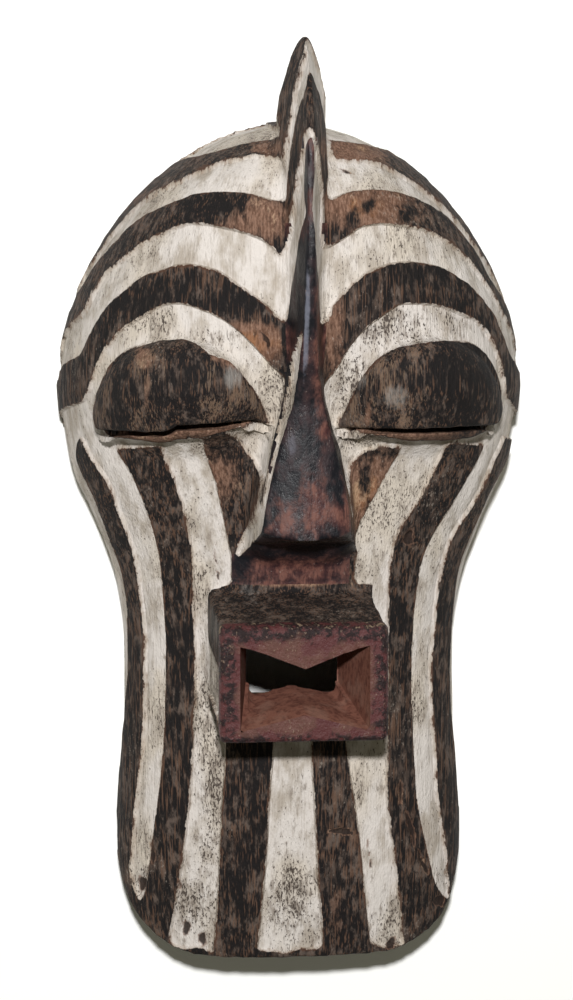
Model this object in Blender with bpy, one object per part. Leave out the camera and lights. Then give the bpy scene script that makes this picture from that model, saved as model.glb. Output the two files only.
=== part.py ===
"""A carved wooden kifwebe mask, lying on its back rim with its face up.

Metres. +X is the viewer's right, +Y runs from the chin to the crest and +Z comes out of the face.
The origin is on the surface that the rim rests on, at the middle of the mask's outline.
"""

import math

import bmesh
import bpy

# Overall sizes of the carving.
LENGTH = 0.482          # chin to the tip of the crest
HEAD_WIDTH = 0.250      # across the head at the eyes
FACE_DEPTH = 0.125      # rim to the forehead
WALL = 0.014            # sides of the hollow
FRONT_WALL = 0.017      # face of the hollow
SKIRT = 0.022           # depth at which the mask is widest
RIM_TUCK = 0.004        # how far the sides turn in again at the rim

# Crest, bridge and nose, one ridge down the middle.
RIDGE_RISE = 0.027      # how far the ridge stands out of the forehead
CREST_FLARE = 0.28      # how much each side of the crest spreads for its depth
NOSE_FLARE = 0.155      # the same at the nose
NOSE_WIDTH = 0.059      # across the nose where it leaves the face
NOSE_RISE = 0.0415      # how far the nose stands out of the face at its lower end

# Eyes: half-closed lids over a slit.
LID_HEIGHT = 0.047
LID_BULGE = 0.019
LID_STEP = 0.003        # how far the lid's edge stands out of the forehead
LOWER_LID_HEIGHT = 0.0065
LOWER_LID_BULGE = 0.011
LOWER_LID_STEP = 0.0015
EYE_TURN = math.radians(24)     # the lids face outwards with the sides of the head
SLIT_HEIGHT = 0.0030

# The mouth, a box that stands out of the face and points a little downwards.
MOUTH_WIDTH = 0.086
MOUTH_HEIGHT = 0.060
MOUTH_REACH = 0.0477    # how far the lips stand out of the face
MOUTH_DROP = 0.013      # how far the front of the box sits below its root
MOUTH_OFFSET = -0.005   # the root's middle is a little left of the mask's middle
MOUTH_LEAN = 0.004      # how far the front of the box sits to the right of its root
MOUTH_EDGE = 0.003      # rounding of the lips' outer edges
SIDE_LIP = 0.012
UPPER_LIP = 0.011
LOWER_LIP = 0.0095
LIP_POINT = 0.0075      # how far the upper lip's point hangs into the opening
LOWER_POINT = 0.008     # how far the lower lip's point rises into it
THROAT_WIDTH = 0.042    # the opening at its back, where it is narrowest
THROAT_HEIGHT = 0.024
THROAT_POINT = 0.005    # the points of both lips at the throat
LIP_THICKNESS = 0.040   # front of the lips to the pocket carved behind them

# Shares of the length and width that place the carving on the block.
HALF = LENGTH / 2
HALF_WIDTH = HEAD_WIDTH / 2
WIDEST_Y = 0.24 * HALF
CROWN_Y = 0.842 * HALF
DOME_Y = 0.42 * HALF        # above this the forehead turns over to the crown
CORNER_Y = -0.75 * HALF     # below this the sides turn in to the chin
CHIN_FLAT = 0.30            # share of the half width that is flat along the chin
EYE_Y = 0.18 * HALF
EYE_X = 0.496 * HALF_WIDTH  # middle of the right eye
EYE_WIDTH = 0.704 * HALF_WIDTH
SLIT_WIDTH = 0.8 * EYE_WIDTH
MOUTH_Y = -0.288 * HALF     # centre of the mouth's root
RIDGE_DEPTH = FACE_DEPTH + RIDGE_RISE

HEAD_POWER = 1.88       # superellipse of the head's outline
SECTION_POWER = 2.3     # superellipse of each section across the face
DOME_POWER = 4.2        # superellipse of the forehead's turn to the crown
CHIN_POWERS = (2.6, 2.4)

# Side outline below the eyes: height as a share of HALF, half width as a share of HALF_WIDTH.
SIDES = [(-1.0, 0.735), (-0.75, 0.757), (-0.60, 0.745), (-0.45, 0.732), (-0.32, 0.730),
         (-0.18, 0.760), (-0.046, 0.846), (0.09, 0.955), (0.24, 1.0)]
# Depth of the face along the middle, as a share of FACE_DEPTH.
PROFILE = [(-1.0, 0.53), (-0.83, 0.575), (-0.66, 0.605), (-0.45, 0.635), (-0.28, 0.66),
           (-0.10, 0.715), (0.04, 0.775), (0.18, 0.855), (0.28, 0.945), (0.37, 0.99), (0.50, 1.0)]
# Front edge of the ridge from the bridge to the tip of the crest, as a share of RIDGE_DEPTH.
RIDGE_FRONT = [(0.09, 0.862), (0.23, 0.865), (0.34, 0.920), (0.46, 0.978), (0.60, 1.0), (0.71, 1.0),
               (0.79, 0.982), (0.87, 0.945), (0.92, 0.910), (0.96, 0.865), (0.985, 0.82), (1.0, 0.765)]
# Half width of the ridge's front face, as a share of half the nose's width.
RIDGE_FACE = [(-0.04, 0.79), (0.0, 0.775), (0.116, 0.590), (0.23, 0.335), (0.34, 0.165), (0.50, 0.105),
              (0.70, 0.09), (0.90, 0.07), (1.0, 0.03)]
# Back edge of the crest and the depth at which it is thickest, where it stands free of the head.
CREST_BACK = [(0.70, 0.30), (0.80, 0.33), (0.86, 0.40), (0.92, 0.52), (0.96, 0.61), (0.985, 0.68),
              (1.0, 0.735)]
CREST_THICK = [(0.70, 0.72), (0.78, 0.70), (0.83, 0.684), (0.889, 0.692), (0.92, 0.718), (1.0, 0.745)]
NOSE_END = -0.04            # lower end of the nose, as a share of HALF
NOSE_UNDERCUT = 0.45        # slope of the nose's underside
NOSE_UNDERCUT_REACH = 0.12  # the slope is taken up over this share of HALF
NOSTRIL_LIFT = 0.010        # how much higher the nose's corners end than its middle
NOSE_FADE = 0.34            # above this share of HALF the ridge spreads as the crest does
CREST_FREE = 0.70           # above this the crest has its own back and isn't sunk in the head

SECTION_STEPS = 30
INSIDE_STEPS = 20
OVERLAP = 0.012         # how deep an added form is sunk in the block
LID_GAP = 1.2 * SLIT_HEIGHT     # between the lids' edges, a little more than the slit between them


def share_at(points, at):
    """The value at this place on the smooth curve through the points, in order of place."""
    if at <= points[0][0]:
        return points[0][1]
    if at >= points[-1][0]:
        return points[-1][1]
    slopes = [(b[1] - a[1]) / (b[0] - a[0]) for a, b in zip(points, points[1:])]
    tangents = [slopes[0]]
    for before, after in zip(slopes, slopes[1:]):
        tangents.append(0.0 if before * after <= 0 else 2 * before * after / (before + after))
    tangents.append(slopes[-1])
    for i, (a, b) in enumerate(zip(points, points[1:])):
        if at <= b[0]:
            gap = b[0] - a[0]
            t = (at - a[0]) / gap
            return (a[1] * (1 + 2 * t) * (1 - t) ** 2 + tangents[i] * gap * t * (1 - t) ** 2
                    + b[1] * t * t * (3 - 2 * t) + tangents[i + 1] * gap * t * t * (t - 1))
    return points[-1][1]


def rounding(rise, power):
    """Share left on a superellipse of this power, this far along to its end."""
    return max(0.0, 1 - min(1.0, rise) ** power) ** (1 / power)


def side_at(y, inset=0.0):
    """Half width of the head and cheeks at this height, before the chin's corners are cut."""
    if y <= WIDEST_Y:
        return HALF_WIDTH * share_at(SIDES, y / HALF) - inset
    return (HALF_WIDTH - inset) * rounding((y - WIDEST_Y) / (CROWN_Y - inset - WIDEST_Y), HEAD_POWER)


def depth_at(y, inset=0.0, front_inset=0.0):
    """Depth of the face on its middle line at this height."""
    depth = FACE_DEPTH * share_at(PROFILE, y / HALF) - front_inset
    if y <= DOME_Y:
        return depth
    return depth * rounding((y - DOME_Y) / (CROWN_Y - inset - DOME_Y), DOME_POWER)


def corner_at(y, inset):
    """Half width of the chin's cut outline at this height, drawn in by the inset."""
    full = side_at(y, inset)
    if y >= CORNER_Y:
        return full
    flat = CHIN_FLAT * HALF_WIDTH
    down, across = CHIN_POWERS
    drop = min(1.0, (CORNER_Y - y) / (CORNER_Y + HALF - inset))
    return flat + (full - flat) * (1 - drop ** down) ** (1 / across)


def arch(across, depth):
    """Depth of an arched section at this share of its half width, on top of its skirt."""
    skirt = min(SKIRT, 0.6 * depth)
    return skirt + (depth - skirt) * rounding(across, SECTION_POWER)


def face_at(x, y):
    """Depth of the plain face at this place, before anything is added to it."""
    return arch(abs(x) / max(side_at(y), 1e-6), depth_at(y))


def section(y, inset, front_inset, steps, foot):
    """One arch across the mask from its left rim to its right rim, ending at the depth of the foot.

    The points that follow the sides are as many in every arch, so the cut corners of the chin stay sharp.
    """
    side, depth, cut = side_at(y, inset), depth_at(y, inset, front_inset), corner_at(y, inset)
    skirt = min(SKIRT, 0.6 * depth)
    wall = steps // 8
    edge = max(math.acos(min(1.0, cut / side) ** (SECTION_POWER / 2)), math.pi * wall / steps)
    half = [edge * i / wall for i in range(wall)]
    half += [edge + (math.pi / 2 - edge) * i / (steps // 2 - wall) for i in range(steps // 2 - wall)]
    right = []
    for angle in half:
        x = min(cut, side * math.cos(angle) ** (2 / SECTION_POWER))
        right.append((x, y, skirt + (depth - skirt) * math.sin(angle) ** (2 / SECTION_POWER)))
    tuck = RIM_TUCK * min(1.0, side / HALF_WIDTH)
    right = [(right[0][0] - tuck, y, foot), (right[0][0] - tuck / 3, y, 0.4 * skirt)] + right
    return [(-px, py, pz) for px, py, pz in right] + [(0.0, y, depth)] + list(reversed(right))


def heights(inset, body_steps, dome_steps):
    """Stations from the chin to just under the crown, closer together where the outline turns."""
    chin, crown = -HALF + inset, CROWN_Y - inset
    corner = [CORNER_Y + (chin - CORNER_Y) * math.sin(math.pi / 2 * i / 8) for i in range(8, 0, -1)]
    body = [CORNER_Y + (DOME_Y - CORNER_Y) * i / body_steps for i in range(body_steps)]
    dome = [DOME_Y + (crown - DOME_Y) * math.sin(math.pi / 2 * i / dome_steps) for i in range(dome_steps)]
    return corner + body + dome + [DOME_Y + 0.9994 * (crown - DOME_Y)]


def loft(name, rings):
    """A closed solid through rings of the same number of points."""
    mesh = bmesh.new()
    loops = [[mesh.verts.new(point) for point in ring] for ring in rings]
    count = len(loops[0])
    for a, b in zip(loops, loops[1:]):
        for i in range(count):
            j = (i + 1) % count
            mesh.faces.new((a[i], a[j], b[j], b[i]))
    mesh.faces.new(list(reversed(loops[0])))
    mesh.faces.new(loops[-1])
    return finish(name, mesh)


def finish(name, mesh):
    """The mesh as an object, with stray points joined, its faces flat and turned outwards."""
    bmesh.ops.remove_doubles(mesh, verts=mesh.verts, dist=1e-6)
    bmesh.ops.dissolve_degenerate(mesh, edges=mesh.edges, dist=1e-6)
    bmesh.ops.triangulate(mesh, faces=mesh.faces)
    bmesh.ops.recalc_face_normals(mesh, faces=mesh.faces)
    data = bpy.data.meshes.new(name)
    mesh.to_mesh(data)
    mesh.free()
    return add_object(name, data)


def add_object(name, data):
    obj = bpy.data.objects.new(name, data)
    bpy.context.scene.collection.objects.link(obj)
    return obj


def helper(obj):
    """An object that only shapes the mask through a Boolean."""
    obj.hide_render = True
    obj.display_type = 'WIRE'
    return obj


def carve(target, tool, operation):
    step = target.modifiers.new(f"{operation.title()} {tool.name}", 'BOOLEAN')
    step.operation = operation
    step.solver = 'EXACT'
    step.object = helper(tool)


def block():
    """The head, cheeks and chin as one solid, flat at the back."""
    return loft("mask", [section(y, 0.0, 0.0, SECTION_STEPS, 0.0) for y in heights(0.0, 22, 12)])


def hollow():
    """The space for the wearer's face, open at the back."""
    through = -0.02
    rings = [section(y, WALL, FRONT_WALL, INSIDE_STEPS, through) for y in heights(WALL, 12, 9)]
    return loft("hollow", rings)


def ridge_front(place):
    """Depth of the ridge's front edge, easing to the nose's own depth below the bridge."""
    front = RIDGE_DEPTH * share_at(RIDGE_FRONT, place)
    bridge = RIDGE_FRONT[1][0]
    if place < bridge:
        tip = depth_at(NOSE_END * HALF) + NOSE_RISE
        front += (tip - front) * (bridge - place) / (bridge - NOSE_END)
    return front


def ridge_section(y):
    """Right half of the ridge's outline at this height, from its back to its front.

    The section is a wedge: a narrow face in front and sides that spread towards the head.
    """
    place = y / HALF
    face = NOSE_WIDTH / 2 * share_at(RIDGE_FACE, place)
    front = ridge_front(place)
    nose = max(0.0, min(1.0, (NOSE_FADE - place) / NOSE_FADE))
    flare = CREST_FLARE + (NOSE_FLARE - CREST_FLARE) * nose
    if place < CREST_FREE:
        rear = face_at(0.0, y) - OVERLAP
        thick = rear + 0.2 * OVERLAP
    else:
        rear, thick = RIDGE_DEPTH * share_at(CREST_BACK, place), RIDGE_DEPTH * share_at(CREST_THICK, place)
    side = face + flare * (front - thick)
    bulge = 0.2 * face
    back = thick - rear
    points = [(0.0, rear), (0.45 * side, rear + 0.10 * back), (0.80 * side, rear + 0.45 * back),
              (side, thick), (0.5 * (side + face), 0.5 * (thick + front - bulge)),
              (face, front - bulge), (0.6 * face, front - 0.3 * bulge), (0.0, front)]
    return [(x, y, z) for x, z in points]


def ridge():
    """Crest, bridge and nose as one solid, undercut below the nose."""
    places = [NOSE_END, 0.02, 0.08, 0.14, 0.19, 0.25, 0.32, 0.39, 0.46, 0.53, 0.60, 0.66, 0.70]
    places += [0.75, 0.80, 0.84, 0.88, 0.915, 0.94, 0.96, 0.975, 0.988, 0.997, 1.0]
    rings = []
    for place in places:
        low = max(0.0, 1 - (place - NOSE_END) / NOSE_UNDERCUT_REACH)
        half = []
        for x, y, z in ridge_section(place * HALF):
            lift = NOSTRIL_LIFT * min(1.0, (2 * x / NOSE_WIDTH) ** 2)
            half.append((x, y + low * (lift - NOSE_UNDERCUT * (ridge_front(place) - z)), z))
        rings.append(half + [(-x, y, z) for x, y, z in reversed(half[1:-1])])
    return loft("ridge", rings)


def lid(name, side, height, bulge, step, way):
    """A lid swelling out of the face over half an ellipse; way is +1 for an upper lid, -1 for a lower."""
    across, up = 24, 7
    turn = (side * math.sin(EYE_TURN), math.cos(EYE_TURN))
    top, under = [], []
    for j in range(up + 1):
        reach = math.sin(math.pi / 2 * (1 - j / up))
        for i in range(across + 1):
            angle = math.pi * i / across
            along, rise = reach * math.cos(angle), reach * math.sin(angle)
            x = side * EYE_X + EYE_WIDTH / 2 * along
            y = EYE_Y + way * (LID_GAP / 2 + height * rise)
            z = face_at(x, y)
            out = step + bulge * math.sqrt(max(0.0, 1 - reach * reach))
            top.append((x + turn[0] * out, y, z + turn[1] * out))
            under.append((x, y, z - OVERLAP))
            if reach == 0:
                break
    mesh = bmesh.new()
    row = across + 1
    for points in (top, under):
        verts = [mesh.verts.new(point) for point in points]
        centre = verts[-1]
        for j in range(up):
            for i in range(across):
                a, b = verts[j * row + i], verts[j * row + i + 1]
                if j == up - 1:
                    mesh.faces.new((a, b, centre))
                else:
                    mesh.faces.new((a, b, verts[(j + 1) * row + i + 1], verts[(j + 1) * row + i]))
        if points is top:
            outer = verts
    border = list(range(row)) + [j * row + across for j in range(1, up)] + [-1]
    border += [j * row for j in range(up - 1, 0, -1)]
    for i, k in zip(border, border[1:] + border[:1]):
        mesh.faces.new((outer[i], outer[k], verts[k], verts[i]))
    return finish(name, mesh)


def slit(name, side):
    """The gap between the lids, cut through to the hollow and pointed at its ends."""
    half, tall = SLIT_WIDTH / 2, SLIT_HEIGHT / 2
    point = 0.6 * half
    outline = [(-half, 0), (-point, -tall), (point, -tall), (half, 0), (point, tall), (-point, tall)]
    low, high = 0.3 * FACE_DEPTH, 1.2 * FACE_DEPTH
    rings = [[(side * EYE_X + x, EYE_Y + y, z) for x, y in outline] for z in (low, high)]
    return loft(name, rings)


def mouth_centre(z):
    """Middle of the mouth's box at this depth, following its drop and lean."""
    out = (z - mouth_root()) / MOUTH_REACH
    return MOUTH_OFFSET + MOUTH_LEAN * out, MOUTH_Y - MOUTH_DROP * out


def mouth_root():
    return face_at(0.0, MOUTH_Y)


def mouth_front():
    return mouth_root() + MOUTH_REACH


def mouth_box():
    """The box of the lips, sunk in the face, with rounded edges."""
    mesh = bmesh.new()
    bmesh.ops.create_cube(mesh, size=1.0)
    low = face_at(MOUTH_WIDTH / 2, MOUTH_Y) - OVERLAP
    for vert in mesh.verts:
        z = mouth_front() if vert.co.z > 0 else low
        x, y = mouth_centre(z)
        vert.co = (x + vert.co.x * MOUTH_WIDTH, y + vert.co.y * MOUTH_HEIGHT, z)
    data = bpy.data.meshes.new("mouth_box")
    mesh.to_mesh(data)
    mesh.free()
    obj = add_object("mouth_box", data)
    edge = obj.modifiers.new("Worn edges", 'BEVEL')
    edge.width = MOUTH_EDGE
    edge.segments = 2
    return obj


def lips(width, top, bottom, upper_point, lower_point):
    """Outline of the opening: a rectangle whose top has a point hanging down and whose foot one rising."""
    half = width / 2
    foot = [(-half, bottom), (0, bottom + lower_point), (half, bottom)]
    return foot + [(half, top), (0, top - upper_point), (-half, top)]


def mouth_opening():
    """The opening between the lips, narrowing to the throat behind them."""
    over = 0.02
    lips_z = mouth_front()
    throat = lips_z - LIP_THICKNESS
    wide = MOUTH_WIDTH - 2 * SIDE_LIP
    top, bottom = MOUTH_HEIGHT / 2 - UPPER_LIP, -MOUTH_HEIGHT / 2 + LOWER_LIP
    front = lips(wide, top, bottom, LIP_POINT, LOWER_POINT)
    back = lips(THROAT_WIDTH, bottom + THROAT_HEIGHT, bottom, THROAT_POINT, THROAT_POINT)
    rings = []
    for z, outline in ((throat - over, back), (throat, back), (lips_z, front), (lips_z + over, front)):
        x, y = mouth_centre(z)
        rings.append([(x + px, y + py, z) for px, py in outline])
    return loft("mouth_opening", rings)


def mouth_pocket():
    """The hollow carried on into the back of the mouth's box, opening out towards the wearer."""
    high, low = mouth_front() - LIP_THICKNESS, 0.3 * mouth_root()
    wide, tall = MOUTH_WIDTH / 2 - WALL, (MOUTH_HEIGHT - WALL) / 2
    corners = ((-1, -1), (1, -1), (1, 1), (-1, 1))
    x, y = mouth_centre(high)
    front = [(x + across * wide, y + up * tall, high) for across, up in corners]
    x, y = mouth_centre(mouth_root())
    spread = 1.35
    back = [(x + across * wide * spread, y + up * tall * spread, low) for across, up in corners]
    return loft("mouth_pocket", [back, front])


def painted_wood():
    """Dark patinated softwood; the white of the grooves is a surface finish."""
    material = bpy.data.materials.new("painted wood")
    material.use_nodes = True
    shader = material.node_tree.nodes["Principled BSDF"]
    shader.inputs["Base Color"].default_value = (0.055, 0.032, 0.024, 1.0)
    shader.inputs["Roughness"].default_value = 0.62
    shader.inputs["Metallic"].default_value = 0.0
    return material


def main():
    for obj in list(bpy.data.objects):
        bpy.data.objects.remove(obj)
    mask = block()
    carve(mask, ridge(), 'UNION')
    carve(mask, mouth_box(), 'UNION')
    carve(mask, hollow(), 'DIFFERENCE')
    carve(mask, mouth_pocket(), 'DIFFERENCE')
    carve(mask, mouth_opening(), 'DIFFERENCE')
    for name, side in (("left", -1), ("right", 1)):
        carve(mask, slit(f"{name}_slit", side), 'DIFFERENCE')
        carve(mask, lid(f"{name}_lid", side, LID_HEIGHT, LID_BULGE, LID_STEP, 1), 'UNION')
        lower = lid(f"{name}_lower_lid", side, LOWER_LID_HEIGHT, LOWER_LID_BULGE, LOWER_LID_STEP, -1)
        carve(mask, lower, 'UNION')
    mask.data.materials.append(painted_wood())


main()
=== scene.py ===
"""Carved kifwebe mask: kaolin and soot bands, heavy lids, boxed lips and a tall crest, lying face up."""
import math

import bmesh
import bpy
import numpy as np
from bpy.props import FloatProperty, FloatVectorProperty, PointerProperty
from mathutils import Matrix, Vector, noise
from mathutils.bvhtree import BVHTree


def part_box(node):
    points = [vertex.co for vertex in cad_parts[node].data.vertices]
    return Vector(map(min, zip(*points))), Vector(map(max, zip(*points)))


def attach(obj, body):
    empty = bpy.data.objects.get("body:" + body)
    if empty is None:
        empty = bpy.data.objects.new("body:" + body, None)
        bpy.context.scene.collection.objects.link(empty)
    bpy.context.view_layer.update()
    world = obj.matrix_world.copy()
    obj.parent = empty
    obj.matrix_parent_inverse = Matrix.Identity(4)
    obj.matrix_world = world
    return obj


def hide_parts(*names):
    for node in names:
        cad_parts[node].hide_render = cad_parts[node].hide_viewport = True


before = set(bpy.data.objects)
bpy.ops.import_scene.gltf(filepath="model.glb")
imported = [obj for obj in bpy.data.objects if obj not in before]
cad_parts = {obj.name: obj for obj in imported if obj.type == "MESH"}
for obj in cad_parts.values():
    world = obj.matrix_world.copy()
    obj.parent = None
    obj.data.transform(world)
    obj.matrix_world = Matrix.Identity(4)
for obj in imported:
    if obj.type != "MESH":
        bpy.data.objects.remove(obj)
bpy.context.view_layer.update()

bl_info = {
    "name": "Kifwebe mask",
    "version": (1, 0, 0),
    "blender": (4, 5, 0),
    "location": "View3D > Sidebar > Mask",
    "description": "Carves and paints the looks of a kifwebe mask over its plain solid",
    "category": "Object",
}

MM = 0.001
LOW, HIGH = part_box("mask")
LENGTH = (HIGH.y - LOW.y) / MM

# Places below are in millimetres in plan, looking down on the face, with the origin of the part as theirs.
# Left and right are the viewer's. The walls of the head are rolled out flat from this height down,
# so that a band keeps its width as it goes over the side.
ROLL_FROM = 60.0
FAR = 40.0              # no border is looked for further away than this
CURVE_STEP = 3.0        # between the points of a smooth border
WALL_TOP = 38.0         # the walls are plainer below this height
EVEN_WITHIN = 6.0       # a border is only evened out this close to it
EVEN_STEPS = 2
CHIN_TURN = -180.0      # the side's outer bands have reached the rim here

MOUTH_ROOT = (-5.0, -69.4, 80.0)
MOUTH_LEAN = (4.0, -13.0, 47.7)     # from the root of the lips' box to its front
LIPS_BOX = (46.0, 33.0)     # half its width and half its height, with a little to spare
LIPS_OPENING = (33.0, 23.0)
# The opening between the lips: how far out, half its width, then the heights of the upper corners,
# the upper point, the lower point and the lower corners.
OPENING_FRONT = (50.0, 32.6, 20.6, 13.0, -14.0, -22.2)
OPENING_THROAT = (5.0, 21.8, 13.0, 8.0, -7.8, -13.0)
LIP_SAG = 4.0           # how much lower the point of the upper lip hangs than in the plain solid

# Soot-black bands over each eye: upper border, then lower border, from the crest out and over the side.
LEFT_BANDS = [
    ([(-8, 191), (-22, 190.5), (-40, 186.5), (-53, 183), (-68, 184), (-86, 172), (-106, 152),
      (-120, 134), (-155, 106)],
     [(-8, 180), (-19, 182.5), (-27, 183), (-41, 180), (-53, 175), (-70, 167), (-80, 160.5), (-94, 148),
      (-103, 139), (-118, 126), (-155, 97)]),
    ([(-8, 159), (-18, 160), (-27, 163), (-42, 164.5), (-54, 163.5), (-71, 157), (-81, 152), (-91, 143),
      (-104, 128), (-118, 113), (-136, 96), (-156, 84)],
     [(-8, 126), (-18, 138), (-27, 143), (-42, 147), (-54, 149), (-62, 148), (-81, 139), (-91, 131),
      (-101, 122), (-107, 111), (-111, 103), (-117, 98), (-130, 90), (-158, 64)]),
    ([(-8, 96), (-16, 103), (-19, 107), (-33, 117), (-43, 124), (-52, 127), (-62, 128), (-72, 125),
      (-81, 122), (-91, 114), (-99, 106), (-107, 93), (-112, 82), (-116, 79), (-124, 74), (-158, 48)],
     [(-8, 68), (-19, 80), (-33, 95), (-43, 102), (-52, 106), (-62, 109), (-72, 108), (-82, 102),
      (-92, 95), (-99, 87), (-105, 75), (-109, 63), (-111, 58), (-116, 55), (-127, 50), (-158, 30)]),
]
RIGHT_BANDS = [
    ([(8, 192), (19, 190.5), (36, 188.5), (48, 187), (64, 181), (80, 171), (96, 156), (108, 142),
      (122, 124), (156, 98)],
     [(8, 181), (21, 181), (37, 180), (45, 177.5), (61, 169), (73, 160.5), (85, 150), (96, 137),
      (105, 127), (116, 114), (154, 86)]),
    ([(8, 156), (17, 162), (22, 164), (35, 165.5), (45, 165), (60, 161), (75, 154), (86, 143.5),
      (97, 129.5), (101, 122), (112, 109), (128, 94), (158, 70)],
     [(8, 135), (17, 140), (28, 147), (36, 148.5), (44, 148.5), (61, 146), (70, 143), (84, 134),
      (91, 128), (105, 110), (117, 93), (128, 83), (158, 56)]),
    ([(8, 101), (17, 111), (27, 121), (35, 125.5), (50, 129), (69, 127), (80, 122), (90, 115), (103, 101),
      (108, 91.5), (115, 78), (128, 67), (158, 44)],
     [(8, 65), (14, 73), (21, 85), (25, 91), (31, 97), (44, 106), (49, 108.5), (69, 107.5), (85, 102),
      (92, 99), (99, 92), (105, 81), (109, 69), (112, 58), (121, 50), (158, 30)]),
]
# Bands down the cheeks and the chin: outer or left border, then the other one, from the eyes down.
CHEEK_BANDS = [
    ([(-114, 37), (-116, 25), (-106, 4), (-98.5, -18), (-91.5, -39), (-91.5, -72), (-92, -93),
      (-97, -122), (-104, -146), (-118, -165), (-130, -200), (-112, -240)],
     [(-112, 36), (-107, 26), (-100, 16), (-92, -5), (-85, -26), (-82, -48), (-80, -70), (-80.5, -91),
      (-82, -124), (-86, -157), (-89, -185), (-90, -200), (-83, -214)]),
    ([(-95, 34), (-91, 28), (-85, 17), (-77, -4), (-72, -25), (-70, -47), (-68.5, -75), (-70, -122),
      (-73, -155), (-77, -182), (-79, -199), (-83, -212), (-95, -222), (-100, -250)],
     [(-72, 34), (-70, 29), (-65, 18), (-59, -3), (-55.5, -24), (-55, -46), (-54, -75), (-55, -121),
      (-57, -153), (-60, -181), (-64, -209), (-67, -228), (-70, -250)]),
    ([(-37, -85), (-37.5, -128), (-39, -152), (-41, -196), (-42.5, -224), (-45, -250)],
     [(-12, -85), (-13, -128), (-15, -152), (-16, -179), (-19, -218), (-22, -250)]),
    ([(8, -85), (8, -128), (10, -164), (12, -197), (14, -219), (16, -250)],
     [(24, -85), (26.5, -128), (32, -164), (36, -198), (38.5, -220), (43, -250)]),
    ([(76, 34), (73, 27), (68, 17), (63, 6), (56, -4), (51, -15), (48.5, -30), (48, -47), (48.5, -75),
      (49, -133), (49, -155), (53, -182), (58, -222), (62, -250)],
     [(99, 34), (95, 26), (83, 5), (70, -16), (66, -26), (63, -48), (61.5, -75), (62, -100), (65.5, -156),
      (72, -185), (77, -203), (84, -214), (90, -218), (108, -250)]),
    ([(113, 36), (107, 25), (97, 4), (83, -17), (78, -38), (76, -55), (74, -95), (77, -136), (79, -159),
      (85, -187), (88, -205), (90, -216), (104, -245)],
     [(124, 32), (119, 22), (110, 13), (99, -8), (91, -30), (88, -63), (87, -95), (94, -140), (99, -164),
      (110, -178), (128, -196), (124, -235)]),
]
# Bare brown wood beside the nose and between it and the lips, as outlines.
BROWN_FIELDS = [
    [(-51, 36), (-40, 38.5), (-32, 35.5), (-25.5, 28), (-22.5, 21), (-24, 10), (-28, -2), (-31, -12),
     (-24, -20), (26, -20), (27, -2), (24.5, 12), (25.3, 22), (27.5, 28.5), (32, 32.5), (40, 34),
     (52, 33), (48, 28), (43, 18), (37, 7), (32, -3), (29, -13), (29, -50), (-34, -50), (-35, -24),
     (-39, -3), (-44, 19)],
]
# The ridge from the crest down to the nose is black, with white chevrons let into it.
RIDGE = [(-7, 250), (-14, 215), (-12.5, 190), (-12, 175), (-11.3, 150), (-11, 110), (-11, 76),
         (-12, 61), (-15, 48), (-21, 21), (-24, 10), (-28, -2), (-32, -13), (-32, -24), (0, -30),
         (29, -24), (28, -10), (22, 20), (18, 38), (14.5, 48), (10, 66), (10.5, 100), (11, 140),
         (12.5, 175), (15, 195), (15, 215), (8, 250)]
CHEVRONS = [
    [(1, 239), (-3.7, 228), (-6.2, 218), (-7.6, 212), (-8.9, 204), (-10.3, 194), (-11.4, 184),
     (-12.4, 175), (-14, 164), (-11, 158), (-10.2, 170), (-8.4, 189), (-7, 199), (-4.3, 208),
     (-1.7, 217), (0.6, 222.5), (4.5, 217), (8.5, 209), (10.5, 204), (12, 192), (12.4, 175),
     (11.7, 163), (15, 166), (15.2, 195), (14.2, 204), (12, 215), (9.4, 224), (7, 230)],
    [(0.2, 195.5), (-3.2, 193), (-5, 184), (-6, 177), (-7.2, 169), (-9.1, 155), (-10.2, 143),
     (-13, 130), (-13.5, 102), (-10.6, 99), (-9.7, 106), (-7.5, 126), (-5.2, 145), (-3.4, 154),
     (-4.2, 160), (-3.8, 176), (-2.7, 188), (0.2, 190.5), (1.7, 184), (1.5, 170), (0.2, 156),
     (1.6, 146), (2.9, 135), (5.7, 116), (8.2, 98), (13, 103), (12.5, 134), (10.2, 138), (9.4, 163),
     (7, 174), (5.8, 184), (3, 190)],
    [(-4, 103), (-5, 97), (-7, 89), (-9, 79), (-10.3, 68), (-12, 59), (-14.8, 48), (-20.6, 21),
     (-23.2, 10), (-27, -2), (-31.5, -13), (-33, -24), (-28, -18), (-23.4, -5), (-20.2, 12), (-16, 31),
     (-11, 49), (-7.6, 58), (-6.6, 66), (-5, 80), (-4.2, 92)],
    [(2.6, 106), (3.2, 96), (4.4, 86), (5.2, 76), (6.2, 68), (9, 60), (8, 68), (6.2, 76), (5.3, 86),
     (4.2, 96)],
]
LIDS = [
    [(-100, 43.4), (-106.5, 50), (-105, 61), (-99, 75), (-95, 80), (-87, 86), (-75, 90.5), (-67, 92),
     (-58, 91.5), (-52, 88), (-48, 84.5), (-38, 81), (-33, 76), (-24, 65), (-18.5, 52), (-18, 46),
     (-26, 43.4), (-62, 43)],
    [(26, 43.4), (18, 46), (19, 52), (25, 68), (30, 76), (36, 82), (43, 86.5), (57, 89.5), (68, 90.5),
     (80, 89.5), (89, 87), (95, 83), (101, 76), (106, 66), (107, 56), (104, 47), (98, 43), (62, 43)],
]
LOWER_LIDS = [
    [(-99, 43.6), (-88, 38.8), (-74, 36.2), (-60, 35.8), (-46, 37.2), (-34, 40.5), (-26, 43.6),
     (-60, 44.5)],
    [(26, 43.6), (38, 39.5), (52, 36.4), (68, 35.4), (84, 36.4), (94, 39.5), (99, 43.6), (60, 44.5)],
]

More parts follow.
